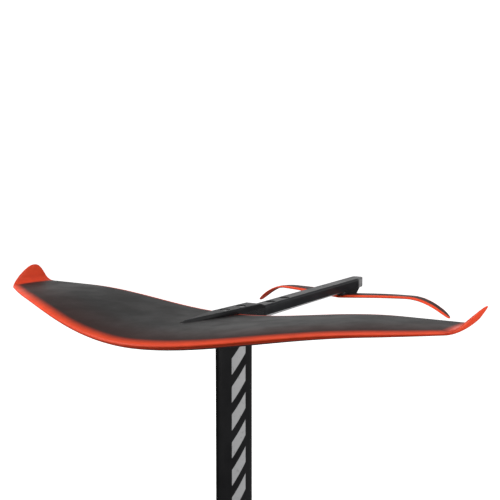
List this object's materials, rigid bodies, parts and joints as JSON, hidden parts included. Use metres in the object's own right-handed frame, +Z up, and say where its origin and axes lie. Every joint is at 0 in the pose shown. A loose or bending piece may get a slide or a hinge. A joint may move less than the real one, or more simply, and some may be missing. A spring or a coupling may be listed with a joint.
{
  "type": "hydrofoil with mast and wings",
  "caption": "Surf hydrofoil on a straight mast: wide curved front wing with upturned winglets, slim fuselage, drooped rear wing and a board plate.",
  "frame": {"origin": "centre of the board plate's mounting face, which is also the centre of its four board holes", "axes": "+X forward along the mast's chord, +Y along the span, +Z up the mast away from the board; the foil stands upside down"},
  "size_m": [0.745, 0.8408, 0.7798],
  "materials": {
    "plate_anodised": "dark anodised aluminium, finely bead-blasted",
    "mast_anodised": "black anodised aluminium extrusion, satin, with a light grey printed graphic",
    "bar_anodised": "dark grey anodised machined aluminium, satin",
    "nose_black": "black anodised machined aluminium, satin",
    "raw_aluminium": "plain machined aluminium",
    "stainless": "turned A4 stainless steel",
    "brass": "turned brass",
    "wing_paint": "satin black painted carbon laminate with orange edges and winglets",
    "core_wood": "light paulownia core",
    "solid_laminate": "solid carbon laminate",
    "rear_wing_paint": "satin black painted laminate with orange leading edge",
    "pad_plastic": "black moulded nylon"
  },
  "bodies": {
    "root": {"base_plate": "plate_anodised", "mast_collar": "plate_anodised", "collar_screws": "stainless", "base_screws": "stainless", "base_insert": "raw_aluminium", "base_thread_inserts": "brass", "mast": "mast_anodised", "top_insert": "raw_aluminium", "top_thread_inserts": "brass", "mast_bolts": "stainless", "fuselage_bar": "bar_anodised", "fuselage_nose": "nose_black", "wing_upper_skin": "wing_paint", "wing_lower_skin": "wing_paint", "wing_core": "core_wood", "wing_root_block": "solid_laminate", "wing_screws": "stainless", "wing_thread_inserts": "brass", "rear_wing": "rear_wing_paint", "rear_wing_pad": "pad_plastic", "rear_wing_screws": "stainless", "rear_thread_inserts": "brass"}
  },
  "joints": []
}
